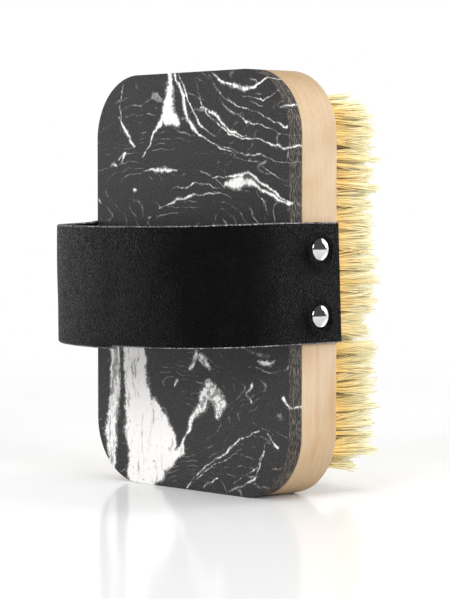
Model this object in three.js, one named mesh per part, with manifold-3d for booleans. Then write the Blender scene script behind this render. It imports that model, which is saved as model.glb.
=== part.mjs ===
// A body dry brush that stands on one short end.
// Millimetres. X runs across the width and Z up the length, from z = 0 under the end it stands on.
// Y runs from the cover to the bristle tips, with y = 0 half way through the block and its cover.
import * as THREE from "three";
import { mergeVertices } from "three/addons/utils/BufferGeometryUtils.js";
import Module from "manifold-3d";

const wasm = await Module();
wasm.setup();

// The wooden block and the cover glued to its back share one outline.
const LENGTH = 125;
const WIDTH = 87;
const CORNER_RADIUS = 19.4;
const CORNER_STEPS = 10;
const BLOCK_THICKNESS = 14.2;
const COVER_THICKNESS = 5.1;
const EDGE_CHAMFER = 0.5;

// The strap is a flat band of leather, nailed to both long sides of the block.
const STRAP_WIDTH = 35;
const STRAP_THICKNESS = 1.9;
const STRAP_CENTRE_Z = 63;
const STRAP_REACH = 30;
const STRAP_ROUNDNESS = 2.45;
const STRAP_STEPS = 30;
const STRAP_END_INSET = 0.6;

// The dome nails, two on each side
const NAIL_SPACING = 19.3;
const NAIL_FROM_COVER = 5.5;
const NAIL_HEAD_RADIUS = 3.4;
const NAIL_HEAD_HEIGHT = 1.5;
const NAIL_SHANK_RADIUS = 0.8;
const NAIL_TIP_LENGTH = 1.6;
const NAIL_DEPTH_IN_BLOCK = 5;
const NAIL_SIDES = 16;
const NAIL_DOME_STEPS = 3;

// The bristles: tufts in long rows. Every other row has one tuft more than the outer rows, and so
// sits half a pitch off them.
const ROW_COUNT = 11;
const ROW_PITCH = 7;
const TUFTS_IN_OUTER_ROW = 17;
const TUFT_PITCH = 6.15;
const TUFT_SIDES = 6;
const TUFT_ROOT_RADIUS = 1.7;
const TUFT_TIP_RADIUS = 3.4;
const TUFT_FREE_LENGTH = 20;
const HOLE_RADIUS = 2.6;
const HOLE_DEPTH = 9;

// A draw wire runs behind each row, in a pocket that the cover closes. One leg of it goes through
// the narrow pull hole of every tuft, and holds the tuft by its folded root.
const WIRE_SIZE = 0.8;
const WIRE_OVERRUN = 3;
const PULL_HOLE_SIZE = 1.6;
const POCKET_DEPTH = 1;
const POCKET_INSET = 4;

const CLEARANCE = 0.3;
const CUT_MARGIN = 1;

// Planes along Y
const COVER_FACE = -(BLOCK_THICKNESS + COVER_THICKNESS) / 2;
const BLOCK_BACK = COVER_FACE + COVER_THICKNESS;
const BLOCK_FRONT = BLOCK_BACK + BLOCK_THICKNESS;
const POCKET_FLOOR = BLOCK_BACK + POCKET_DEPTH;
const HOLE_BOTTOM = BLOCK_FRONT - HOLE_DEPTH;
const TUFT_TIP = BLOCK_FRONT + TUFT_FREE_LENGTH;
const NAIL_Y = BLOCK_BACK + NAIL_FROM_COVER;
const STRAP_END = BLOCK_FRONT - STRAP_END_INSET;

const SIDE_X = WIDTH / 2;
const STRAP_OUTSIDE_X = SIDE_X + STRAP_THICKNESS;

const MATERIALS = {
  wood: { color: 0xe0c39c, roughness: 0.55, metalness: 0 },
  marbled_board: { color: 0x2f2d2e, roughness: 0.4, metalness: 0 },
  black_leather: { color: 0x161616, roughness: 0.6, metalness: 0 },
  polished_nail: { color: 0xd4d4d2, roughness: 0.12, metalness: 1 },
  plant_fibre: { color: 0xeedd98, roughness: 0.7, metalness: 0 },
  steel_wire: { color: 0x9a9a98, roughness: 0.35, metalness: 1 },
};

const brush = new THREE.Group();
brush.name = "body_dry_brush";

function addPiece(name, geometry, look) {
  const material = new THREE.MeshStandardMaterial(MATERIALS[look]);
  material.name = look;
  const piece = new THREE.Mesh(geometry, material);
  piece.name = name;
  brush.add(piece);
}

// A closed geometry as a solid that can be joined and cut
function solidOf(geometry) {
  const bare = geometry.index ? geometry.toNonIndexed() : geometry.clone();
  bare.deleteAttribute("normal");
  bare.deleteAttribute("uv");
  const merged = mergeVertices(bare, 1e-4);
  const mesh = new wasm.Mesh({
    numProp: 3,
    vertProperties: merged.attributes.position.array,
    triVerts: new Uint32Array(merged.index.array),
  });
  return new wasm.Manifold(mesh);
}

// A solid as a geometry with flat faces
function geometryOf(solid) {
  const mesh = solid.getMesh();
  const shared = new THREE.BufferGeometry();
  shared.setAttribute("position", new THREE.BufferAttribute(mesh.vertProperties, 3));
  shared.setIndex(new THREE.BufferAttribute(mesh.triVerts, 1));
  const faceted = shared.toNonIndexed();
  faceted.computeVertexNormals();
  return faceted;
}

function joined(solids) {
  return solids.reduce((all, one) => all.add(one));
}

// The rounded outline of block and cover in X and Z, or one that lies inside it by an even inset
function brushOutline(inset) {
  const side = SIDE_X - CORNER_RADIUS;
  const low = CORNER_RADIUS;
  const high = LENGTH - CORNER_RADIUS;
  const radius = CORNER_RADIUS - inset;
  const quarter = Math.PI / 2;
  const outline = new THREE.Shape();
  outline.absarc(side, low, radius, -quarter, 0);
  outline.absarc(side, high, radius, 0, quarter);
  outline.absarc(-side, high, radius, quarter, 2 * quarter);
  outline.absarc(-side, low, radius, 2 * quarter, 3 * quarter);
  return outline;
}

// An outline as a slab between two planes along Y, with its edges chamfered
function slab(inset, fromY, toY, chamfer) {
  const geometry = new THREE.ExtrudeGeometry(brushOutline(inset), {
    depth: toY - fromY - 2 * chamfer,
    curveSegments: CORNER_STEPS,
    bevelEnabled: chamfer > 0,
    bevelSegments: 1,
    bevelThickness: chamfer,
    bevelSize: chamfer,
    bevelOffset: -chamfer,
  });
  geometry.rotateX(Math.PI / 2);
  geometry.translate(0, toY - chamfer, 0);
  return geometry;
}

// A round bar along X, centred on a nail
function nailBar(radius, fromX, toX, z) {
  const bar = new THREE.CylinderGeometry(radius, radius, toX - fromX, NAIL_SIDES);
  bar.rotateZ(Math.PI / 2);
  bar.translate((fromX + toX) / 2, NAIL_Y, z);
  return bar;
}

const nailHeights = [STRAP_CENTRE_Z + NAIL_SPACING / 2, STRAP_CENTRE_Z - NAIL_SPACING / 2];

// Clearance holes for the nail shanks, through the strap and into both sides of the block
function nailHoles() {
  const deepest = SIDE_X - NAIL_DEPTH_IN_BLOCK - CLEARANCE;
  const outside = STRAP_OUTSIDE_X + CUT_MARGIN;
  const holes = [];
  for (const z of nailHeights) {
    const radius = NAIL_SHANK_RADIUS + CLEARANCE;
    holes.push(solidOf(nailBar(radius, deepest, outside, z)));
    holes.push(solidOf(nailBar(radius, -outside, -deepest, z)));
  }
  return joined(holes);
}

// The rows of tufts: each has its x and the height of every tuft in it.
function tuftRows() {
  const middle = (ROW_COUNT - 1) / 2;
  const rows = [];
  for (let i = 0; i < ROW_COUNT; i++) {
    const count = TUFTS_IN_OUTER_ROW + (i % 2);
    const lowest = (LENGTH - (count - 1) * TUFT_PITCH) / 2;
    const heights = Array.from({ length: count }, (_, k) => lowest + k * TUFT_PITCH);
    rows.push({ x: (i - middle) * ROW_PITCH, heights });
  }
  return rows;
}

// A tapered or straight bar along Y, with one corner of its section pointing up
function yBar(rootRadius, tipRadius, fromY, toY, x, z) {
  const bar = new THREE.CylinderGeometry(tipRadius, rootRadius, toY - fromY, TUFT_SIDES);
  bar.translate(x, (fromY + toY) / 2, z);
  return bar;
}

// A tuft's hole in the front of the block, and the narrow hole from its bottom to the pocket
function tuftHole(x, z) {
  const wide = yBar(HOLE_RADIUS, HOLE_RADIUS, HOLE_BOTTOM, BLOCK_FRONT + CUT_MARGIN, x, z);
  const length = HOLE_BOTTOM + CUT_MARGIN - BLOCK_BACK;
  const narrow = new THREE.BoxGeometry(PULL_HOLE_SIZE, length, PULL_HOLE_SIZE);
  narrow.translate(x, BLOCK_BACK + length / 2, z);
  return solidOf(wide).add(solidOf(narrow));
}

// The side view of a wire, in Y and Z, made as thick as the wire along X
function drawWire(row) {
  const half = WIRE_SIZE / 2;
  const low = row.heights[0] - WIRE_OVERRUN;
  const high = row.heights.at(-1) + WIRE_OVERRUN;
  const side = new THREE.Shape();
  side.moveTo(POCKET_FLOOR - WIRE_SIZE, low);
  side.lineTo(POCKET_FLOOR, low);
  for (const z of row.heights) {
    side.lineTo(POCKET_FLOOR, z - half);
    side.lineTo(HOLE_BOTTOM, z - half);
    side.lineTo(HOLE_BOTTOM, z + half);
    side.lineTo(POCKET_FLOOR, z + half);
  }
  side.lineTo(POCKET_FLOOR, high);
  side.lineTo(POCKET_FLOOR - WIRE_SIZE, high);
  const wire = new THREE.ExtrudeGeometry(side, { depth: WIRE_SIZE, bevelEnabled: false });
  const [alongX, alongY, alongZ] = [0, 1, 2].map((i) => new THREE.Vector3().setComponent(i, 1));
  wire.applyMatrix4(new THREE.Matrix4().makeBasis(alongY, alongZ, alongX));
  wire.translate(row.x - half, 0, 0);
  return wire;
}

// The tufts of a row flare until they touch their neighbours at the tips.
function bristleRow(row) {
  const tufts = row.heights.map((z) =>
    solidOf(yBar(TUFT_ROOT_RADIUS, TUFT_TIP_RADIUS, HOLE_BOTTOM, TUFT_TIP, row.x, z)),
  );
  return geometryOf(joined(tufts));
}

function block(rows) {
  const pocket = slab(POCKET_INSET, BLOCK_BACK - CUT_MARGIN, POCKET_FLOOR, 0);
  const cuts = [solidOf(pocket), nailHoles()];
  for (const row of rows) {
    for (const z of row.heights) {
      cuts.push(tuftHole(row.x, z));
    }
  }
  const whole = solidOf(slab(0, BLOCK_BACK, BLOCK_FRONT, EDGE_CHAMFER));
  return geometryOf(whole.subtract(joined(cuts)));
}

// The middle line of the strap, from its end on the right side round to its end on the left:
// flat on each side of the block, and half a superellipse over the cover
function strapLine() {
  const halfWidth = SIDE_X + STRAP_THICKNESS / 2;
  const reach = STRAP_REACH - STRAP_THICKNESS / 2;
  const power = 2 / STRAP_ROUNDNESS;
  const line = [new THREE.Vector2(halfWidth, STRAP_END)];
  for (let i = 0; i <= STRAP_STEPS; i++) {
    const angle = (Math.PI * i) / STRAP_STEPS;
    const across = Math.sign(Math.cos(angle)) * Math.abs(Math.cos(angle)) ** power;
    const out = Math.sin(angle) ** power;
    line.push(new THREE.Vector2(halfWidth * across, COVER_FACE - reach * out));
  }
  line.push(new THREE.Vector2(-halfWidth, STRAP_END));
  return line;
}

// The line moved sideways by half the strap's thickness
function offsetLine(line, distance) {
  return line.map((point, i) => {
    const before = line[Math.max(i - 1, 0)];
    const after = line[Math.min(i + 1, line.length - 1)];
    const along = after.clone().sub(before).normalize();
    return new THREE.Vector2(point.x - along.y * distance, point.y + along.x * distance);
  });
}

function strap() {
  const line = strapLine();
  const outside = offsetLine(line, STRAP_THICKNESS / 2);
  const inside = offsetLine(line, -STRAP_THICKNESS / 2);
  const band = new THREE.ExtrudeGeometry(new THREE.Shape([...outside, ...inside.reverse()]), {
    depth: STRAP_WIDTH,
    bevelEnabled: false,
  });
  band.translate(0, 0, STRAP_CENTRE_Z - STRAP_WIDTH / 2);
  return geometryOf(solidOf(band).subtract(nailHoles()));
}

// A dome nail, turned round its own axis and then laid along X with its head outside the strap
function nail(side, z) {
  const tip = NAIL_DEPTH_IN_BLOCK + STRAP_THICKNESS;
  const profile = [
    new THREE.Vector2(0, -tip),
    new THREE.Vector2(NAIL_SHANK_RADIUS, NAIL_TIP_LENGTH - tip),
    new THREE.Vector2(NAIL_SHANK_RADIUS, 0),
    new THREE.Vector2(NAIL_HEAD_RADIUS, 0),
  ];
  for (let i = 1; i < NAIL_DOME_STEPS; i++) {
    const angle = (Math.PI / 2) * (i / NAIL_DOME_STEPS);
    const radius = NAIL_HEAD_RADIUS * Math.cos(angle);
    profile.push(new THREE.Vector2(radius, NAIL_HEAD_HEIGHT * Math.sin(angle)));
  }
  profile.push(new THREE.Vector2(0, NAIL_HEAD_HEIGHT));
  const geometry = new THREE.LatheGeometry(profile, NAIL_SIDES);
  geometry.rotateZ((-side * Math.PI) / 2);
  geometry.translate(side * STRAP_OUTSIDE_X, NAIL_Y, z);
  return geometry;
}

const rows = tuftRows();
addPiece("base_block", block(rows), "wood");
addPiece("marbled_cover", slab(0, COVER_FACE, BLOCK_BACK, EDGE_CHAMFER), "marbled_board");
addPiece("hand_strap", strap(), "black_leather");

const [upper, lower] = nailHeights;
addPiece("nail_right_upper", nail(1, upper), "polished_nail");
addPiece("nail_right_lower", nail(1, lower), "polished_nail");
addPiece("nail_left_upper", nail(-1, upper), "polished_nail");
addPiece("nail_left_lower", nail(-1, lower), "polished_nail");

rows.forEach((row, i) => {
  const number = String(i + 1).padStart(2, "0");
  addPiece(`bristle_row_${number}`, bristleRow(row), "plant_fibre");
  addPiece(`draw_wire_${number}`, drawWire(row), "steel_wire");
});

export default brush;
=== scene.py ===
"""A body dry brush that stands on one short end: a wooden block under a marbled cover, long rows of
plant-fibre tufts, and a bowed leather hand strap on four dome nails. Metres, frame axes."""

import math
import random

import bmesh
import bpy
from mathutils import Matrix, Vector, noise
from mathutils.geometry import delaunay_2d_cdt


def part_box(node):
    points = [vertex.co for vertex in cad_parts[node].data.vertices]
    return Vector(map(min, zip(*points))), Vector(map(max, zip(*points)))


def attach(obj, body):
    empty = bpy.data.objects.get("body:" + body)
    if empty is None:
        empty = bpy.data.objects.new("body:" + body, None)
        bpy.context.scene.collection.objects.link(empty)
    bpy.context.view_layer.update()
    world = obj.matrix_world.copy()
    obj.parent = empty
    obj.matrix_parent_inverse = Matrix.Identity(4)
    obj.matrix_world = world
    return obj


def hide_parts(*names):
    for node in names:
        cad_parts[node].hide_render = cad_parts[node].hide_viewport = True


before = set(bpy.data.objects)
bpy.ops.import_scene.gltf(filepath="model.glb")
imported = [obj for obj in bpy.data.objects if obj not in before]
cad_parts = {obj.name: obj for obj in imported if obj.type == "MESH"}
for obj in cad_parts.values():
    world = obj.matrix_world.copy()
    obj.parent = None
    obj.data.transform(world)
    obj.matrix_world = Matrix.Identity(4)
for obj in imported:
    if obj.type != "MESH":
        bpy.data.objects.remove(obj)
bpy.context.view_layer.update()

MM = 0.001
SEED = 7

BLOCK_LOW, BLOCK_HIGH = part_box("base_block")
COVER_LOW, COVER_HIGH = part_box("marbled_cover")
STRAP_LOW, STRAP_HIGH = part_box("hand_strap")
NAILS = ("nail_right_upper", "nail_right_lower", "nail_left_upper", "nail_left_lower")
NAIL_BOXES = {node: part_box(node) for node in NAILS}
ROWS = sorted(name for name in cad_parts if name.startswith("bristle_row"))
ROW_BOXES = {node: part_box(node) for node in ROWS}
WIRES = sorted(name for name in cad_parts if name.startswith("draw_wire"))

# The rounded outline of block and cover
CORNER_RADIUS = 19.4 * MM
CORNER_STEPS = 24
BLOCK_ARRIS = 0.7 * MM
COVER_ARRIS = 0.3 * MM
ARRIS_STEPS = 4

# The block's inside
POCKET_INSET = 4 * MM
WIRE_SIZE = 0.8 * MM
HOLE_RADIUS = 2.3 * MM
PULL_HOLE_RADIUS = 0.8 * MM
HOLE_SIDES = 16

# The bristles: every tuft is made of strands, and every strand of fibres that end close together.
TUFT_PITCH = 6.15 * MM
STRANDS_PER_TUFT = 14
FIBRES_PER_STRAND = 12
FIBRE_RADIUS = 0.19 * MM
FIBRE_SIDES = 3
FIBRE_STEPS = 4
FIBRE_START = 2 * MM
FIBRE_TAPER = 0.25
FIBRE_SPREAD_POWER = 1.2
FIBRE_BEND = 0.3 * MM
FIBRE_STRAY = 0.3 * MM
TUFT_FOOT_RADIUS = 2.1 * MM
TUFT_FLARE = 2.15
TUFT_LEAN = 0.15 * MM
STRAND_FOOT_RADIUS = 0.7 * MM
STRAND_TIP_RADIUS = 1.2 * MM
STRAND_STRAY = 0.5 * MM
STRAND_FOOT_SHARE = 0.85
STRAND_SPREAD = (0.95, 1.15)
STRAND_SHADE_SHARE = 0.6

# Lengths as shares of the tufts' free length
STRAND_LENGTH = 1.03
STRAND_UNEVENNESS = 0.028
OUTER_STRAND_SHORTENING = 0.03
FIBRE_UNEVENNESS = 0.03

# The strap. The power of its bow is less by the skew at the right end, and more at the left.
STRAP_SAMPLES = 160
STRAP_BOW_STEPS = 400
STRAP_BOW_POWER = 2.45
STRAP_BOW_SKEW = 0.12
STRAP_ROWS = 26
STRAP_EDGE = 0.35 * MM
STRAP_EDGE_ROUNDING = 0.25 * MM
STRAP_DROOP = 1.2 * MM
STRAP_LOWER_EDGE_DROOP = 0.8 * MM
STRAP_RIGHT_DROOP_POWER = 1.6
STRAP_LEFT_DROOP_POWER = 0.4
STRAP_END_PULL = 0.2 * MM
STRAP_END_SLANT = 0.7 * MM
STRAP_WAVE = 0.35 * MM
STRAP_WAVES_PER_METRE = 70
STRAP_LEAN = 0.25 * MM
STRAP_CURL = 0.25 * MM

# The leather round a nail: a dent under the head, and a ring that is puckered up, more so below
DENT_DEPTH = 0.5 * MM
DENT_RADIUS = 3.2 * MM
PUCKER_HEIGHT = 0.6 * MM
PUCKER_RADIUS = 4.7 * MM
PUCKER_WIDTH = 1.0 * MM
PUCKER_SAG = 0.5
PUCKER_SAG_REACH = 4 * MM

# The nails
NAIL_SIDES = 40
NAIL_DOME_STEPS = 8
NAIL_RIM = 0.15 * MM
NAIL_SHANK_RADIUS = 0.8 * MM
NAIL_TIP_LENGTH = 1.6 * MM


# ---------------------------------------------------------------- meshes


def add_piece(name, mesh, slot, *nodes):
    """A shown piece on the root body, which stands for some CAD nodes."""
    piece = bpy.data.objects.new(name, mesh)
    bpy.context.scene.collection.objects.link(piece)
    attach(piece, "root")
    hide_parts(*nodes)
    return piece


def mesh_of(name, build, *materials):
    """A new mesh from what build puts into an empty bmesh."""
    shape = bmesh.new()
    build(shape)
    bmesh.ops.recalc_face_normals(shape, faces=shape.faces)
    mesh = bpy.data.meshes.new(name)
    shape.to_mesh(mesh)
    shape.free()
    for material in materials:
        mesh.materials.append(material)
    return mesh


def outline(inset):
    """The rounded outline of block and cover, moved in by inset, as (x, z) points."""
    side = BLOCK_HIGH.x - CORNER_RADIUS
    low = BLOCK_LOW.z + CORNER_RADIUS
    high = BLOCK_HIGH.z - CORNER_RADIUS
    radius = CORNER_RADIUS - inset
    points = []
    for corner, (x, z) in enumerate(((side, low), (side, high), (-side, high), (-side, low))):
        for i in range(CORNER_STEPS + 1):
            angle = math.pi / 2 * (corner - 1 + i / CORNER_STEPS)
            points.append((x + radius * math.cos(angle), z + radius * math.sin(angle)))
    return points


def arris(face_y, inward, radius):
    """Sections of (y, inset) that round an edge, from the flat face to the wall. inward is the
    direction from the face into the slab, as 1 or -1 along Y."""
    sections = []
    for i in range(ARRIS_STEPS + 1):
        angle = math.pi / 2 * i / ARRIS_STEPS
        depth = radius * (1 - math.cos(angle))
        sections.append((face_y + inward * depth, radius * (1 - math.sin(angle))))
    return sections


def bridge(shape, one, other, smooth=True):
    """Joins two closed loops of as many points with a band of quads."""
    for i in range(len(one)):
        j = (i + 1) % len(one)
        face = shape.faces.new((one[i], one[j], other[j], other[i]))
        face.smooth = smooth


def add_wall(shape, sections):
    """Lofts the outline through sections of (y, inset), and returns the loops of points."""
    loops = [[shape.verts.new((x, y, z)) for x, z in outline(inset)] for y, inset in sections]
    for one, other in zip(loops, loops[1:]):
        bridge(shape, one, other)
    return loops


def add_ring(shape, centre, y, radius):
    """A circle of points round (x, z) in the plane y."""
    ring = []
    for i in range(HOLE_SIDES):
        angle = 2 * math.pi * i / HOLE_SIDES
        x = centre[0] + radius * math.cos(angle)
        z = centre[1] + radius * math.sin(angle)
        ring.append(shape.verts.new((x, y, z)))
    return ring


def fill_around(shape, outer, rings):
    """Fills the flat loop outer with triangles, and leaves every ring in it open."""
    points = outer + [point for ring in rings for point in ring]
    flat = [Vector((point.co.x, point.co.z)) for point in points]
    edges = []
    for k in range(len(rings)):
        first = len(outer) + k * HOLE_SIDES
        edges += [(first + i, first + (i + 1) % HOLE_SIDES) for i in range(HOLE_SIDES)]
    loop = list(range(len(outer)))
    _, _, triangles, sources, _, _ = delaunay_2d_cdt(flat, edges, [loop], 1, 1e-9)
    for triangle in triangles:
        corners = [sources[i][0] for i in triangle]
        owners = {(i - len(outer)) // HOLE_SIDES for i in corners if i >= len(outer)}
        inside_ring = len(owners) == 1 and min(corners) >= len(outer)
        if not inside_ring:
            shape.faces.new([points[i] for i in corners])


# ---------------------------------------------------------------- the block and its cover


def tuft_centres(row):
    """The (x, z) of every tuft in a CAD row, whose six-sided tufts end at the row's box."""
    low, high = ROW_BOXES[row]
    tip_radius = (high.x - low.x) / math.sqrt(3)
    count = round((high.z - low.z - 2 * tip_radius) / TUFT_PITCH) + 1
    x = (low.x + high.x) / 2
    return [(x, low.z + tip_radius + i * TUFT_PITCH) for i in range(count)]


def add_cover(material):
    def build(shape):
        front = arris(COVER_LOW.y, 1, COVER_ARRIS)
        back = reversed(arris(COVER_HIGH.y, -1, COVER_ARRIS))
        loops = add_wall(shape, [*front, *back])
        shape.faces.new(loops[0])
        shape.faces.new(loops[-1])

    mesh = mesh_of("cover", build, material)
    add_piece("cover", mesh, "marbled_board", "marbled_cover")


def add_block(material):
    """The block with its pocket for the wires, its pull holes and its tuft holes."""
    hole_bottom = ROW_BOXES[ROWS[0]][0].y
    pocket_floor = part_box(WIRES[0])[0].y + WIRE_SIZE
    centres = [centre for row in ROWS for centre in tuft_centres(row)]

    def build(shape):
        pocket = [(pocket_floor, POCKET_INSET), (BLOCK_LOW.y, POCKET_INSET)]
        back = arris(BLOCK_LOW.y, 1, BLOCK_ARRIS)
        front = reversed(arris(BLOCK_HIGH.y, -1, BLOCK_ARRIS))
        loops = add_wall(shape, pocket)
        outside = add_wall(shape, [*back, *front])
        bridge(shape, loops[-1], outside[0], smooth=False)
        small, wide = [], []
        for centre in centres:
            rings = [
                add_ring(shape, centre, pocket_floor, PULL_HOLE_RADIUS),
                add_ring(shape, centre, hole_bottom, PULL_HOLE_RADIUS),
                add_ring(shape, centre, hole_bottom, HOLE_RADIUS),
                add_ring(shape, centre, BLOCK_HIGH.y, HOLE_RADIUS),
            ]
            for one, other in zip(rings, rings[1:]):
                bridge(shape, one, other, smooth=False)
            small.append(rings[0])
            wide.append(rings[-1])
        fill_around(shape, loops[0], small)
        fill_around(shape, outside[-1], wide)

    add_piece("wood_block", mesh_of("wood_block", build, material), "wood", "base_block")


# ---------------------------------------------------------------- the bristles


class Fibres:
    """The points and faces of many fibres. along is 0 at a fibre's foot and 1 at its tip, and
    tint is each fibre's own shade."""

    def __init__(self):
        self.points, self.faces, self.along, self.tint = [], [], [], []

    def add_fibre(self, foot, tip, bend, turn, shade):
        """One slightly tapered fibre with a cut end, which spreads more towards its tip."""
        first = len(self.points)
        for step in range(FIBRE_STEPS + 1):
            share = step / FIBRE_STEPS
            spread = share**FIBRE_SPREAD_POWER
            middle = foot.lerp(tip, spread) + bend * math.sin(math.pi * share)
            middle.y = foot.y + (tip.y - foot.y) * share
            radius = FIBRE_RADIUS * (1 - FIBRE_TAPER * share)
            for side in range(FIBRE_SIDES):
                angle = turn + 2 * math.pi * side / FIBRE_SIDES
                out = Vector((math.cos(angle), 0, math.sin(angle)))
                self.points.append(middle + out * radius)
            self.along += [share] * FIBRE_SIDES
        self.tint += [shade] * (len(self.points) - first)
        self.add_skin(first)

    def add_skin(self, first):
        """The faces of the fibre whose points begin at first."""
        last = first + FIBRE_SIDES * FIBRE_STEPS
        self.faces.append(tuple(first + side for side in range(FIBRE_SIDES)))
        for ring in range(first, last, FIBRE_SIDES):
            for side in range(FIBRE_SIDES):
                one, other = ring + side, ring + (side + 1) % FIBRE_SIDES
                self.faces.append((one, one + FIBRE_SIDES, other + FIBRE_SIDES, other))
        self.faces.append(tuple(last + side for side in reversed(range(FIBRE_SIDES))))

    def mesh(self, name, material):
        mesh = bpy.data.meshes.new(name)
        mesh.from_pydata(self.points, [], self.faces)
        mesh.materials.append(material)
        for label, values in (("along", self.along), ("tint", self.tint)):
            mesh.attributes.new(label, "FLOAT", "POINT").data.foreach_set("value", values)
        mesh.shade_smooth()
        return mesh


def in_disc(rng, radius):
    """An even random point of a disc across the bristles."""
    turn = rng.uniform(0, 2 * math.pi)
    reach = radius * math.sqrt(rng.random())
    return Vector((reach * math.cos(turn), 0, reach * math.sin(turn)))


def scatter(rng, amount):
    """A random push across the bristles, mostly within amount."""
    return Vector((rng.gauss(0, amount), 0, rng.gauss(0, amount)))


def add_tuft(rng, fibres, centre, free_length):
    """A tuft whose strands fan out, with the outer ones a little shorter."""
    root = Vector((centre[0], BLOCK_HIGH.y, centre[1]))
    lean = scatter(rng, TUFT_LEAN)
    for _ in range(STRANDS_PER_TUFT):
        middle = in_disc(rng, STRAND_FOOT_SHARE * TUFT_FOOT_RADIUS)
        away = middle.length / TUFT_FOOT_RADIUS
        strand_tip = middle * TUFT_FLARE * rng.uniform(*STRAND_SPREAD) + lean
        strand_tip += scatter(rng, STRAND_STRAY)
        share = rng.gauss(STRAND_LENGTH, STRAND_UNEVENNESS) - OUTER_STRAND_SHORTENING * away**3
        strand_length = free_length * share
        shade = rng.random()
        for _ in range(FIBRES_PER_STRAND):
            foot = middle + in_disc(rng, STRAND_FOOT_RADIUS)
            if foot.length > TUFT_FOOT_RADIUS:
                foot *= TUFT_FOOT_RADIUS / foot.length
            tip = strand_tip + in_disc(rng, STRAND_TIP_RADIUS) + scatter(rng, FIBRE_STRAY)
            length = strand_length * rng.gauss(1, FIBRE_UNEVENNESS)
            foot += root - Vector((0, FIBRE_START, 0))
            tip += root + Vector((0, length, 0))
            turn = rng.uniform(0, 2 * math.pi)
            own_shade = STRAND_SHADE_SHARE * shade + (1 - STRAND_SHADE_SHARE) * rng.random()
            fibres.add_fibre(foot, tip, scatter(rng, FIBRE_BEND), turn, own_shade)


def add_bristles(material):
    rng = random.Random(SEED)
    for row in ROWS:
        free_length = ROW_BOXES[row][1].y - BLOCK_HIGH.y
        fibres = Fibres()
        for centre in tuft_centres(row):
            add_tuft(rng, fibres, centre, free_length)
        name = row.replace("bristle_row", "bristles")
        add_piece(name, fibres.mesh(name, material), "plant_fibre", row)


# ---------------------------------------------------------------- the strap and its nails


def even(line, count):
    """count points spaced evenly along a line, and its length."""
    lengths = [0]
    for (x0, y0), (x1, y1) in zip(line, line[1:]):
        lengths.append(lengths[-1] + math.hypot(x1 - x0, y1 - y0))
    spaced, k = [], 0
    for i in range(count):
        target = lengths[-1] * i / (count - 1)
        while k < len(line) - 2 and lengths[k + 1] < target:
            k += 1
        share = (target - lengths[k]) / (lengths[k + 1] - lengths[k])
        (x0, y0), (x1, y1) = line[k], line[k + 1]
        spaced.append((x0 + (x1 - x0) * share, y0 + (y1 - y0) * share))
    return spaced, lengths[-1]


def strap_line(thickness):
    """Evenly spaced points (x, y) of the strap's middle line, from its right end to its left, and
    its length. It is flat on both sides of the block, and its bow over the cover is half a
    superellipse that is rounder on the right and fuller on the left."""
    half_width = STRAP_HIGH.x - thickness / 2
    reach = COVER_LOW.y - STRAP_LOW.y - thickness / 2
    line = [(half_width, STRAP_HIGH.y)]
    for i in range(STRAP_BOW_STEPS + 1):
        angle = math.pi * i / STRAP_BOW_STEPS
        power = 2 / (STRAP_BOW_POWER - STRAP_BOW_SKEW * math.cos(angle))
        across = math.copysign(abs(math.cos(angle)) ** power, math.cos(angle))
        out = max(math.sin(angle), 0) ** power
        line.append((half_width * across, COVER_LOW.y - reach * out))
    line.append((-half_width, STRAP_HIGH.y))
    return even(line, STRAP_SAMPLES)


def strap_rows(half_height):
    """Shares of the half height, from -1 to 1: even rows, with a narrow row along each edge."""
    inside = 1 - STRAP_EDGE / half_height
    rows = [inside * (2 * k / (STRAP_ROWS - 1) - 1) for k in range(STRAP_ROWS)]
    return [-1, *rows, 1]


def nail_dents(place):
    """How far the leather stands out round the nails: pressed in under each head, and puckered
    in a ring round it, more so below."""
    if place.y < COVER_LOW.y:
        return 0
    lift = 0
    for low, high in NAIL_BOXES.values():
        centre = (low + high) / 2
        if centre.x * place.x < 0:
            continue
        away = math.hypot(place.y - centre.y, place.z - centre.z)
        below = 1 + PUCKER_SAG * max(-1, min(1, (centre.z - place.z) / PUCKER_SAG_REACH))
        pucker = math.exp(-(((away - PUCKER_RADIUS) / PUCKER_WIDTH) ** 2))
        lift += PUCKER_HEIGHT * below * pucker
        lift -= DENT_DEPTH * math.exp(-((away / DENT_RADIUS) ** 4))
    return lift


def strap_droop(x, up, bow):
    """How far the bow hangs down: the left end more than the right, and its lower edge most."""
    if x >= 0:
        return STRAP_DROOP * bow**STRAP_RIGHT_DROOP_POWER
    lower_edge = STRAP_LOWER_EDGE_DROOP * bow * max(-up, 0)
    return STRAP_DROOP * bow**STRAP_LEFT_DROOP_POWER + lower_edge


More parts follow.
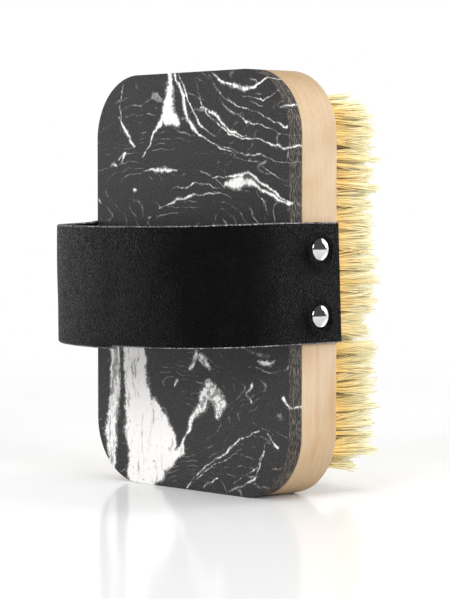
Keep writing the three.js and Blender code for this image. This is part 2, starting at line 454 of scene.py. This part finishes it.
def strap_sections(thickness, half_height):
    """Loops of points round the strap, from its right end to its left, and its length."""
    middle_z = (STRAP_LOW.z + STRAP_HIGH.z) / 2
    reach = COVER_LOW.y - STRAP_LOW.y
    nail_y = (NAIL_BOXES[NAILS[0]][0].y + NAIL_BOXES[NAILS[0]][1].y) / 2
    line, length = strap_line(thickness)
    sections = []
    for i, (x, y) in enumerate(line):
        before, after = line[max(i - 1, 0)], line[min(i + 1, len(line) - 1)]
        along = Vector((after[0] - before[0], after[1] - before[1], 0)).normalized()
        outward = Vector((-along.y, along.x, 0))
        bow = max(COVER_LOW.y - y, 0) / reach
        past_nails = max(y - nail_y, 0) / (STRAP_HIGH.y - nail_y)
        outer, inner = [], []
        for up in strap_rows(half_height):
            place = Vector((x, y, middle_z + up * half_height - strap_droop(x, up, bow)))
            place.y -= past_nails * (STRAP_END_PULL + STRAP_END_SLANT * up)
            wave = STRAP_WAVE * noise.noise(place * STRAP_WAVES_PER_METRE)
            place += outward * bow * (wave + STRAP_LEAN * up - STRAP_CURL * up**2)
            half = thickness / 2 - (STRAP_EDGE_ROUNDING if abs(up) == 1 else 0)
            outer.append(place + outward * (half + nail_dents(place)))
            inner.append(place - outward * half)
        sections.append(outer + inner[::-1])
    return sections, length


def add_strap(leather, cut_edge):
    """The strap is flat leather, so it is one body whose cut edges have their own material."""
    thickness = STRAP_HIGH.x - BLOCK_HIGH.x
    half_height = (STRAP_HIGH.z - STRAP_LOW.z) / 2
    sections, length = strap_sections(thickness, half_height)

    def build(shape):
        loops = [[shape.verts.new(point) for point in section] for section in sections]
        count = len(loops[0])
        last = count // 2 - 1
        cut_bands = (0, last - 1, last, last + 1, count - 2, count - 1)
        for one, other in zip(loops, loops[1:]):
            for k in range(count):
                j = (k + 1) % count
                face = shape.faces.new((one[k], one[j], other[j], other[k]))
                face.material_index = 1 if k in cut_bands else 0
                face.smooth = True
        for loop in (loops[0], loops[-1]):
            for k in range(last):
                corners = (loop[k], loop[k + 1], loop[-k - 2], loop[-k - 1])
                shape.faces.new(corners).material_index = 1

    mesh = mesh_of("strap", build, leather, cut_edge)
    piece = add_piece("strap", mesh, "black_leather", "hand_strap")


def nail_profile(side, low, high):
    """A nail's outline as (x, radius), from the point of its shank to the top of its head, which
    is a cap of a ball over a thin rim."""
    radius = (high.z - low.z) / 2
    under = side * STRAP_HIGH.x
    top, tip = (high.x, low.x) if side > 0 else (low.x, high.x)
    rise = abs(top - under) - NAIL_RIM
    ball = (radius**2 + rise**2) / (2 * rise)
    steepest = math.asin(radius / ball)
    profile = [(tip, 0), (tip + side * NAIL_TIP_LENGTH, NAIL_SHANK_RADIUS)]
    profile += [(under, NAIL_SHANK_RADIUS), (under, radius)]
    for i in range(NAIL_DOME_STEPS):
        angle = steepest * (1 - i / NAIL_DOME_STEPS)
        profile.append((top - side * ball * (1 - math.cos(angle)), ball * math.sin(angle)))
    profile.append((top, 0))
    return profile


def add_nails(material):
    """Each nail's head is a low dome over a thin rim, and its shank goes into the block."""
    for node, (low, high) in NAIL_BOXES.items():
        centre = (low + high) / 2
        profile = nail_profile(math.copysign(1, centre.x), low, high)

        def build(shape):
            rings = []
            for x, radius in profile[1:-1]:
                ring = []
                for i in range(NAIL_SIDES):
                    angle = 2 * math.pi * i / NAIL_SIDES
                    y = centre.y + radius * math.cos(angle)
                    z = centre.z + radius * math.sin(angle)
                    ring.append(shape.verts.new((x, y, z)))
                rings.append(ring)
            for k, (one, other) in enumerate(zip(rings, rings[1:])):
                bridge(shape, one, other, smooth=k > 2)
            for (x, _), ring in ((profile[0], rings[0]), (profile[-1], rings[-1])):
                end = shape.verts.new((x, centre.y, centre.z))
                for i in range(NAIL_SIDES):
                    face = shape.faces.new((end, ring[i], ring[(i + 1) % NAIL_SIDES]))
                    face.smooth = True

        name = node.replace("nail", "dome_nail")
        add_piece(name, mesh_of(name, build, material), "polished_nail", node)


# ---------------------------------------------------------------- materials


class Nodes:
    """A node tree, with a short call for each kind of node."""

    def __init__(self, tree):
        self.tree = tree

    def put(self, socket, value):
        if isinstance(value, bpy.types.NodeSocket):
            self.tree.links.new(value, socket)
        else:
            socket.default_value = value

    def node(self, kind, values, **settings):
        node = self.tree.nodes.new(kind)
        for name, setting in settings.items():
            setattr(node, name, setting)
        for key, value in values.items():
            self.put(node.inputs[key], value)
        return node

    def math(self, operation, *values):
        return self.node("ShaderNodeMath", dict(enumerate(values)), operation=operation).outputs[0]

    def vector(self, operation, *values):
        node = self.node("ShaderNodeVectorMath", dict(enumerate(values)), operation=operation)
        number = operation in ("DOT_PRODUCT", "DISTANCE", "LENGTH")
        return node.outputs["Value" if number else "Vector"]

    def scaled(self, vector, share):
        values = {"Vector": vector, "Scale": share}
        return self.node("ShaderNodeVectorMath", values, operation="SCALE").outputs["Vector"]

    def split(self, vector):
        return self.node("ShaderNodeSeparateXYZ", {0: vector}).outputs

    def noise(self, at, size, detail=2.0, roughness=0.5, output="Fac"):
        """Noise whose features are about size millimetres wide, around 0.5."""
        values = {"Vector": at, "Scale": 1 / size, "Detail": detail, "Roughness": roughness}
        return self.node("ShaderNodeTexNoise", values).outputs[output]

    def creases(self, at, size):
        """How far a place is from the border of its cell, with cells about size wide."""
        values = {"Vector": at, "Scale": 1 / size}
        node = self.node("ShaderNodeTexVoronoi", values, feature="DISTANCE_TO_EDGE")
        return node.outputs["Distance"]

    def fade(self, value, start, end, low=0.0, high=1.0):
        """low up to start and high from end on, with a smooth step between."""
        values = dict(enumerate((value, start, end, low, high)))
        node = self.node("ShaderNodeMapRange", values, interpolation_type="SMOOTHSTEP")
        return node.outputs[0]

    def mix(self, share, one, other):
        values = {0: share, 6: one, 7: other}
        return self.node("ShaderNodeMix", values, data_type="RGBA").outputs[2]


class Material(Nodes):
    """A material with one Principled shader. place is where a point is, in millimetres."""

    def __init__(self, name):
        self.material = bpy.data.materials.new(name)
        self.material.use_nodes = True
        super().__init__(self.material.node_tree)
        self.surface = self.tree.nodes["Principled BSDF"]
        where = self.node("ShaderNodeTexCoord", {}).outputs
        self.normal = where["Normal"]
        self.place = self.scaled(where["Object"], 1000)

    def bump(self, height, depth, strength=1.0):
        """Bump whose height of 0 to 1 stands for depth millimetres."""
        values = {"Height": height, "Distance": depth * MM, "Strength": strength}
        self.put(self.surface.inputs["Normal"], self.node("ShaderNodeBump", values).outputs[0])

    def finish(self, values):
        for name, value in values.items():
            self.put(self.surface.inputs[name], value)
        return self.material


def rgb(red, green, blue):
    """A linear colour from screen values of 0 to 255."""

    def linear(value):
        share = value / 255
        return share / 12.92 if share < 0.04045 else ((share + 0.055) / 1.055) ** 2.4

    return (linear(red), linear(green), linear(blue), 1)


def wood():
    """Pale wood whose growth rings are stacked through the thickness: they show as uneven stripes
    round the ends and fade along the sides, over fine pores along the length."""
    look = Material("wood")
    depth = look.split(look.place)["Y"]
    drift = look.noise(look.vector("MULTIPLY", look.place, (1, 1, 0.25)), 30, 1)
    depth = look.math("MULTIPLY_ADD", drift, 6.0, depth)
    layer = look.node("ShaderNodeCombineXYZ", {"Y": depth}).outputs[0]
    rings = look.fade(look.noise(layer, 1.5, 2, 0.6), 0.42, 0.68)
    end_grain = look.fade(look.math("ABSOLUTE", look.split(look.normal)["Z"]), 0.15, 0.8)
    fibre = look.noise(look.vector("MULTIPLY", look.place, (1, 1, 0.05)), 0.45, 3, 0.6)
    shade = look.math("MULTIPLY", rings, look.math("MULTIPLY_ADD", end_grain, 0.38, 0.12))
    shade = look.math("MULTIPLY_ADD", look.fade(fibre, 0.40, 0.75), 0.28, shade)
    cloud = look.noise(look.place, 22)
    colour = look.mix(look.fade(cloud, 0.35, 0.65), rgb(195, 172, 146), rgb(181, 155, 122))
    colour = look.mix(shade, colour, rgb(166, 135, 99))
    streaks = look.noise(look.vector("MULTIPLY", look.place, (1, 1, 0.12)), 5, 1)
    streaks = look.fade(streaks, 0.60, 0.76, 0, 0.6)
    colour = look.mix(streaks, colour, rgb(176, 138, 96))
    look.bump(fibre, 0.06, 0.5)
    rough = look.fade(fibre, 0.2, 0.9, 0.42, 0.6)
    return look.finish({"Base Color": colour, "Roughness": rough})


# The white figures of the marbling, on the cover: each is a line of (x, z, half width) in
# millimetres, with z up from its lower end.
FIGURES = (
    # The fall of white at the top, and the long thin lines that run off it to the right
    ((-9, 125, 1.0), (-9, 118, 2.0), (-9, 112, 3.2), (-5, 110, 1.2)),
    ((-11, 112, 1.5), (-16, 107, 0.7), (-21, 100, 0.3)),
    ((-7, 125, 0.7), (-4, 119, 0.9), (-1, 111, 1.0), (4, 106.5, 0.5), (20, 100.5, 0.2)),
    ((-5, 125, 0.3), (-1, 117, 0.4), (4, 110, 0.5), (12, 106, 0.2)),
    ((2, 123, 0.1), (7, 114, 0.3), (18, 107, 0.4), (28, 104, 0.3), (44, 102, 0.4)),
    ((5, 115.5, 0.3), (12, 113, 0.8), (18, 108, 0.6), (24, 106, 0.2)),
    ((9, 124, 0.1), (16, 117, 0.2), (27, 112, 0.1), (42, 107, 0.3)),
    ((14, 116, 0.1), (27, 109, 0.2), (44, 104.5, 0.1)),
    ((22, 117.5, 0.1), (32, 115, 0.25), (39, 117, 0.1)),
    ((12, 104, 0.1), (26, 100, 0.3), (44, 98, 0.1)),
    ((17, 100.5, 0.1), (30, 97.5, 0.2), (43, 92.5, 0.1)),
    ((11, 124.5, 0.4), (18, 120.5, 0.6), (24, 119.2, 0.9), (30, 120, 0.4), (36, 121.5, 0.4)),
    ((42, 119, 0.4), (42.3, 113.5, 0.5), (39.5, 112.6, 0.5)),
    # The line across the middle, which ends in a peak at the right edge
    ((17, 92.5, 1.5), (24, 92.5, 2.0), (29, 91, 0.8), (39, 86, 0.8), (43, 84.5, 0.6)),
    ((10, 93.5, 0.2), (16, 94.8, 0.3), (26, 94.3, 0.6), (33, 91, 0.8), (43, 85, 0.6)),
    ((-21, 95, 0.3), (-12, 95.6, 0.7), (-5, 95.8, 0.3)),
    ((-13, 85.2, 0.3), (-4, 87.8, 0.5), (14, 89.5, 0.1)),
    ((-7, 91, 0.1), (6, 91.5, 0.3), (14, 91, 0.1)),
    ((30, 89, 0.1), (33, 85, 0.2), (34, 82, 0.1)),
    # Wisps and dots at the upper left
    ((-33, 113, 0.2), (-29, 108, 0.9), (-25.5, 103, 0.3)),
    ((-31, 122, 0.1), (-32.5, 116, 0.3), (-31, 109, 0.1)),
    ((-33, 99, 0.3), (-30, 101, 0.8), (-31, 98, 0.4)),
    ((-36.5, 97.5, 0.8), (-34, 97, 0.3)),
    ((-25.5, 89.6, 0.6), (-24.8, 89.2, 0.6)),
    ((-42, 87, 0.6), (-41, 86.4, 0.3)),
    ((-17.8, 80.6, 0.5), (-17, 81, 0.3)),
    ((12, 79, 0.2), (13.5, 83, 0.2)),
    # The broad fall of white at the lower left, with its streaked band
    ((-35, 45, 3.0), (-34.8, 30, 2.9), (-36.6, 14, 3.0), (-36.4, 4, 2.4)),
    ((-25, 45, 5.4), (-24.5, 30, 6.0), (-22, 18, 8.4), (-19, 9, 9.6), (-23, 2, 6)),
    ((-17, 25, 2.0), (-13, 19, 4.5), (-11, 14, 5.0), (-11, 9, 4.5)),
    ((-12, 9, 3.5), (-5, 11, 2.0), (-2, 17, 0.9), (0, 20, 1.0)),
    # The grainy patch, and the crumbs and lines round it
    ((0, 20.5, 1.0), (6, 26, 2.8), (9.5, 31, 3.2), (13, 27, 3.2), (12.5, 23, 1.5)),
    ((0, 37, 1.0), (3, 41, 1.3)),
    ((5, 40.5, 0.9), (9.5, 37, 0.9)),
    ((-6.5, 31, 0.4), (-5.5, 33, 0.6)),
    ((29.5, 39.5, 0.4), (35.5, 40, 1.2), (37, 40.8, 0.6)),
    ((27.5, 33.5, 0.5), (25.3, 31, 0.5), (27.5, 29, 0.6)),
    ((40.5, 30.8, 0.4), (44, 27.5, 0.5)),
    ((-1, 0, 0.3), (8, 8, 0.4), (21, 15.5, 0.5), (30, 20.5, 0.2)),
    ((1, 1, 0.1), (12, 9, 0.3), (24, 14, 0.1)),
    ((7, 1, 0.4), (13, 4.5, 0.3)),
    ((19, 0.5, 0.3), (29, 5.5, 0.6), (33, 14.5, 0.2)),
    ((21, 3, 0.1), (30, 10, 0.3), (36, 20, 0.1)),
    ((34, 20, 0.2), (38, 16, 0.7)),
)


def stroke_group():
    """A node group that says how far a place is outside one tapered stroke, as a share that is
    greater next to a thin stroke. So an even unrest of the place roughens broad strokes most."""
    group = bpy.data.node_groups.new("stroke", "ShaderNodeTree")
    for name in ("Place", "Start", "Step"):
        group.interface.new_socket(name, in_out="INPUT", socket_type="NodeSocketVector")
    for name in ("Start width", "End width"):
        group.interface.new_socket(name, in_out="INPUT", socket_type="NodeSocketFloat")
    group.interface.new_socket("Outside", in_out="OUTPUT", socket_type="NodeSocketFloat")
    tree = Nodes(group)
    given = tree.node("NodeGroupInput", {}).outputs
    away = tree.vector("SUBTRACT", given["Place"], given["Start"])
    along = tree.vector("DOT_PRODUCT", away, given["Step"])
    whole = tree.vector("DOT_PRODUCT", given["Step"], given["Step"])
    share = tree.math("MAXIMUM", tree.math("DIVIDE", along, whole), 0)
    share = tree.math("MINIMUM", share, 1)
    distance = tree.vector("DISTANCE", away, tree.scaled(given["Step"], share))
    taper = tree.math("SUBTRACT", given["End width"], given["Start width"])
    width = tree.math("MULTIPLY_ADD", taper, share, given["Start width"])
    outside = tree.math("SUBTRACT", distance, width)
    breadth = tree.math("MULTIPLY_ADD", tree.math("MINIMUM", width, 2), 0.45, 0.25)
    tree.node("NodeGroupOutput", {0: tree.math("DIVIDE", outside, breadth)})
    return group


def push(look, size, reach):
    """A push of the place by noise whose features are size wide, by up to reach."""
    aside = look.vector("SUBTRACT", look.noise(look.place, size, output="Color"), (0.5, 0.5, 0.5))
    return look.scaled(aside, 2 * reach)


def figures(look, place):
    """How far a place is outside the nearest white figure."""
    group = stroke_group()
    flat = look.vector("MULTIPLY", place, (1, 0, 1))
    nearest = 1000.0
    for line in FIGURES:
        for (x0, z0, w0), (x1, z1, w1) in zip(line, line[1:]):
            values = {"Place": flat, "Start": (x0, 0, z0), "Step": (x1 - x0, 0, z1 - z0)}
            values |= {"Start width": w0, "End width": w1}
            stroke = look.node("ShaderNodeGroup", {}, node_tree=group)
            for name, value in values.items():
                look.put(stroke.inputs[name], value)
            nearest = look.math("MINIMUM", nearest, stroke.outputs[0])
    return nearest


def white_figures(look, place, ragged):
    """The white of the figures, whose edges break into grains and whose thin lines are faint."""
    patchy = look.math("SUBTRACT", look.noise(place, 4, 2, 0.6), 0.5)
    outside = look.math("MULTIPLY_ADD", ragged, 2.3, figures(look, place))
    outside = look.math("MULTIPLY_ADD", patchy, 2.0, outside)
    white = look.fade(outside, 0.25, -0.15)
    return look.math("MULTIPLY", white, look.fade(outside, -0.2, -1.05, 0.12, 1.0))


def veins(look, place):
    """Thin grey veins that run alongside each other in patches."""
    flow = look.noise(look.vector("MULTIPLY", place, (0.45, 1, 1.3)), 30, 1)
    level = look.math("FRACT", look.math("MULTIPLY", flow, 26))
    vein = look.fade(look.math("ABSOLUTE", look.math("SUBTRACT", level, 0.5)), 0.09, 0.02)
    shown = look.fade(look.noise(look.place, 6, 3, 0.7), 0.46, 0.66, 0, 0.30)
    return look.math("MULTIPLY", vein, shown)


def crumbs(look):
    """White crumbs in a few patches."""
    crumb = look.fade(look.noise(look.place, 1.6, 4, 0.75), 0.66, 0.74, 0, 0.8)
    return look.math("MULTIPLY", crumb, look.fade(look.noise(look.place, 12, 1), 0.48, 0.62))


def dirt(look, place):
    """Dark streaks in the white, more in the band at the left edge, and dark stains, more in the
    grainy patch."""
    across, _, up = look.split(look.place)
    streak = look.noise(look.vector("MULTIPLY", place, (1, 1, 0.08)), 1.5, 3, 0.65)
    streak = look.math("MULTIPLY_ADD", look.fade(across, -30.5, -32), 0.12, streak)
    grainy = look.math("MULTIPLY", look.fade(across, -6, 1), look.fade(up, 50, 42))
    stain = look.math("MULTIPLY_ADD", grainy, 0.13, look.noise(look.place, 1.7, 4, 0.7))
    return look.math("MAXIMUM", look.fade(streak, 0.56, 0.72), look.fade(stain, 0.60, 0.70))


def marbling():
    """A charcoal board with white figures, veins and crumbs, whose edge is rougher and shows thin
    layers."""
    look = Material("marbled_board")
    place = look.vector("ADD", look.place, push(look, 14, 2.4))
    place = look.vector("ADD", place, push(look, 3.5, 0.8))
    ragged = look.math("SUBTRACT", look.noise(look.place, 0.9, 3, 0.65), 0.5)
    light = look.math("MAXIMUM", veins(look, place), crumbs(look))
    light = look.math("MAXIMUM", white_figures(look, place, ragged), light)
    soiled = look.math("MULTIPLY", dirt(look, place), 0.75)
    pale = look.mix(soiled, rgb(250, 248, 246), rgb(84, 81, 80))
    grain = look.noise(look.place, 0.4, 3, 0.7)
    dark = look.mix(look.fade(grain, 0.35, 0.75), rgb(26, 25, 25), rgb(72, 70, 70))
    colour = look.mix(light, dark, pale)

    side = look.fade(look.math("ABSOLUTE", look.split(look.normal)["Y"]), 0.9, 0.5)
    layers = look.noise(look.vector("MULTIPLY", look.place, (0.2, 1, 0.2)), 0.35, 3, 0.7)
    layers = look.fade(layers, 0.46, 0.66)
    edge = look.mix(layers, rgb(42, 39, 38), rgb(128, 119, 109))
    share = look.math("MULTIPLY", side, look.math("MULTIPLY_ADD", light, -0.7, 0.8))
    colour = look.mix(share, colour, edge)
    rough = look.math("MULTIPLY_ADD", side, 0.35, look.fade(ragged, -0.3, 0.3, 0.30, 0.42))
    look.bump(look.math("MULTIPLY", side, layers), 0.08)
    return look.finish({"Base Color": colour, "Roughness": rough, "Specular IOR Level": 0.3})


def leather():
    """Black grained leather: fine pebbles between creases, and broad soft wrinkles."""
    look = Material("black_leather")
    place = look.vector("ADD", look.place, push(look, 2.5, 0.5))
    pebbles = look.fade(look.creases(place, 0.8), 0.0, 0.3)
    fine = look.noise(look.place, 0.35, 2)
    broad = look.noise(look.place, 7, 2)
    height = look.math("MULTIPLY_ADD", fine, 0.6, pebbles)
    height = look.math("MULTIPLY_ADD", broad, 1.6, height)
    look.bump(height, 1.7)
    worn = look.fade(look.noise(look.place, 5, 3, 0.6), 0.4, 0.75)
    colour = look.mix(worn, rgb(7, 7, 7), rgb(14, 14, 15))
    rough = look.fade(pebbles, 0.0, 1.0, 0.65, 0.31)
    return look.finish({"Base Color": colour, "Roughness": rough, "Specular IOR Level": 0.13})


def cut_leather():
    """The cut edge of the strap, where pale fibres show through the black."""
    look = Material("cut_leather")
    fluff = look.noise(look.place, 0.5, 4, 0.7)
    shade = look.fade(fluff, 0.44, 0.66)
    colour = look.mix(shade, rgb(26, 25, 26), rgb(186, 184, 184))
    look.bump(fluff, 0.25)
    return look.finish({"Base Color": colour, "Roughness": 0.9})


def polished():
    """Polished plated steel with faint rubbing marks."""
    look = Material("polished_nail")
    marks = look.noise(look.vector("MULTIPLY", look.place, (1, 6, 1)), 0.8, 4, 0.6)
    colour = look.mix(marks, rgb(214, 213, 210), rgb(236, 236, 235))
    look.bump(marks, 0.004)
    rough = look.fade(marks, 0.35, 0.8, 0.05, 0.2)
    return look.finish({"Base Color": colour, "Metallic": 1.0, "Roughness": rough})


def wire():
    """Drawn steel wire with fine lines along its length."""
    look = Material("steel_wire")
    lines = look.noise(look.vector("MULTIPLY", look.place, (1, 1, 0.04)), 0.2, 3)
    colour = look.mix(lines, rgb(150, 150, 148), rgb(186, 185, 182))
    look.bump(lines, 0.01)
    rough = look.fade(lines, 0.3, 0.7, 0.28, 0.45)
    return look.finish({"Base Color": colour, "Metallic": 1.0, "Roughness": rough})


def plant_fibre():
    """Stiff pale fibre that lets some light through: creamy at the tip and golden towards the hole,
    which is partly the fibre's own colour and partly painted shade for the warm shadow between the
    tufts at the block. Each fibre has its own shade."""
    look = Material("plant_fibre")
    along = look.node("ShaderNodeAttribute", {}, attribute_name="along").outputs["Fac"]
    tint = look.node("ShaderNodeAttribute", {}, attribute_name="tint").outputs["Fac"]
    # The golden foot is partly painted shade: the warm shadow between the tufts near the block.
    colour = look.mix(look.fade(along, 0.2, 0.95), rgb(255, 208, 112), rgb(255, 246, 200))
    darker = look.fade(tint, 0.6, 0.95, 0, 0.4)
    colour = look.mix(darker, colour, rgb(250, 196, 96))
    flecks = look.noise(look.vector("MULTIPLY", look.place, (1, 0.12, 1)), 0.3, 2)
    colour = look.mix(look.fade(flecks, 0.55, 0.8, 0, 0.3), colour, rgb(255, 250, 228))
    values = {"Base Color": colour, "Roughness": look.fade(flecks, 0.3, 0.7, 0.45, 0.65)}
    values |= {"Subsurface Weight": 0.35, "Subsurface Radius": (1, 0.8, 0.4)}
    return look.finish(values | {"Subsurface Scale": 0.6 * MM})


# ---------------------------------------------------------------- the studio


def add_softbox(name, place, width, height, power, mirrored=True):
    """A soft rectangular light that faces the middle of the brush. One that is not mirrored makes
    no highlight."""
    light = bpy.data.lights.new(name, "AREA")
    light.shape = "RECTANGLE"
    light.size = width
    light.size_y = height
    light.energy = power
    lamp = bpy.data.objects.new(name, light)
    lamp.location = place
    middle = (BLOCK_LOW + BLOCK_HIGH) / 2
    lamp.rotation_euler = (middle - lamp.location).to_track_quat("-Z", "Z").to_euler()
    lamp.visible_glossy = mirrored
    bpy.context.scene.collection.objects.link(lamp)


def add_floor():
    """A white table that mirrors the brush faintly, and runs out into plain white light."""
    material = bpy.data.materials.new("table")
    material.use_nodes = True
    look = Nodes(material.node_tree)
    look.tree.nodes.remove(look.tree.nodes["Principled BSDF"])
    white = look.node("ShaderNodeBsdfDiffuse", {"Color": (0.78, 0.78, 0.78, 1)}).outputs[0]
    gloss = {"Color": (1, 1, 1, 1), "Roughness": 0.12}
    mirror = look.node("ShaderNodeBsdfGlossy", gloss).outputs[0]
    near = look.node("ShaderNodeMixShader", {0: 0.25, 1: white, 2: mirror}).outputs[0]
    glow = look.node("ShaderNodeEmission", {"Strength": 1.0}).outputs[0]
    place = look.node("ShaderNodeTexCoord", {}).outputs["Object"]
    far = look.fade(look.vector("LENGTH", place), 0.22, 0.6)
    both = look.node("ShaderNodeMixShader", {0: far, 1: near, 2: glow}).outputs[0]
    look.put(look.tree.nodes["Material Output"].inputs["Surface"], both)
    half = 3
    corners = [(-half, -half, 0), (half, -half, 0), (half, half, 0), (-half, half, 0)]
    mesh = bpy.data.meshes.new("table")
    mesh.from_pydata(corners, [], [(0, 1, 2, 3)])
    mesh.materials.append(material)
    table = bpy.data.objects.new("table", mesh)
    bpy.context.scene.collection.objects.link(table)


CAMERA_AZIMUTH = math.radians(48)
CAMERA_PITCH = math.radians(2.37)
CAMERA_AIM = Vector((7.6, -2.2, 57.2)) * MM
CAMERA_DISTANCE = 0.713
CAMERA_LENS = 143.4


def camera_forward():
    level = math.cos(CAMERA_PITCH)
    x = -math.sin(CAMERA_AZIMUTH) * level
    y = math.cos(CAMERA_AZIMUTH) * level
    return Vector((x, y, -math.sin(CAMERA_PITCH)))


def add_camera():
    data = bpy.data.cameras.new("camera")
    data.lens = CAMERA_LENS
    camera = bpy.data.objects.new("camera", data)
    camera.location = CAMERA_AIM - camera_forward() * CAMERA_DISTANCE
    camera.rotation_euler = camera_forward().to_track_quat("-Z", "Y").to_euler()
    bpy.context.scene.collection.objects.link(camera)
    bpy.context.scene.camera = camera


def add_world():
    """A dark room with a bright backdrop behind the brush. The background itself shows white."""
    world = bpy.data.worlds.new("studio")
    world.use_nodes = True
    bpy.context.scene.world = world
    tree = Nodes(world.node_tree)
    direction = tree.node("ShaderNodeTexCoord", {}).outputs["Generated"]
    towards = camera_forward()
    facing = tree.vector("DOT_PRODUCT", direction, (towards.x, towards.y, 0))
    behind = tree.fade(facing, 0.1, 0.6)
    low = tree.fade(tree.split(direction)["Z"], 0.5, 0.25)
    glow = tree.math("MULTIPLY", behind, low)
    room = tree.mix(glow, (0.08, 0.08, 0.08, 1), (1.2, 1.2, 1.2, 1))
    lit = tree.node("ShaderNodeBackground", {"Color": room}).outputs[0]
    seen = tree.node("ShaderNodeBackground", {"Color": (1, 1, 1, 1)}).outputs[0]
    looked_at = tree.node("ShaderNodeLightPath", {}).outputs["Is Camera Ray"]
    both = tree.node("ShaderNodeMixShader", {0: looked_at, 1: lit, 2: seen}).outputs[0]
    tree.put(tree.tree.nodes["World Output"].inputs["Surface"], both)


def add_sun(strength, width):
    """Even soft light from straight above, which makes no highlights."""
    sun = bpy.data.lights.new("overhead", "SUN")
    sun.energy = strength
    sun.angle = width
    lamp = bpy.data.objects.new("overhead", sun)
    lamp.visible_glossy = False
    bpy.context.scene.collection.objects.link(lamp)


def add_lights():
    add_sun(1.4, math.radians(60))
    add_softbox("key_bank", (0.2, -0.85, 0.55), 0.6, 0.5, 6.0)
    add_softbox("right_bank", (0.9, -0.1, 0.35), 0.5, 0.5, 7.4, mirrored=False)
    add_softbox("left_bank", (-1.06, -0.16, 0.3), 0.45, 0.7, 3.3)
    add_softbox("back_bank", (0.3, 0.85, 0.5), 0.5, 0.6, 4.0)


# ---------------------------------------------------------------- the whole scene

add_block(wood())
add_cover(marbling())
add_bristles(plant_fibre())
add_strap(leather(), cut_leather())
add_nails(polished())

wire_look = wire()
for node in WIRES:
    for material_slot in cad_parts[node].material_slots:
        material_slot.material = wire_look

add_floor()
add_world()
add_lights()
add_camera()
bpy.context.scene.view_settings.view_transform = "Standard"
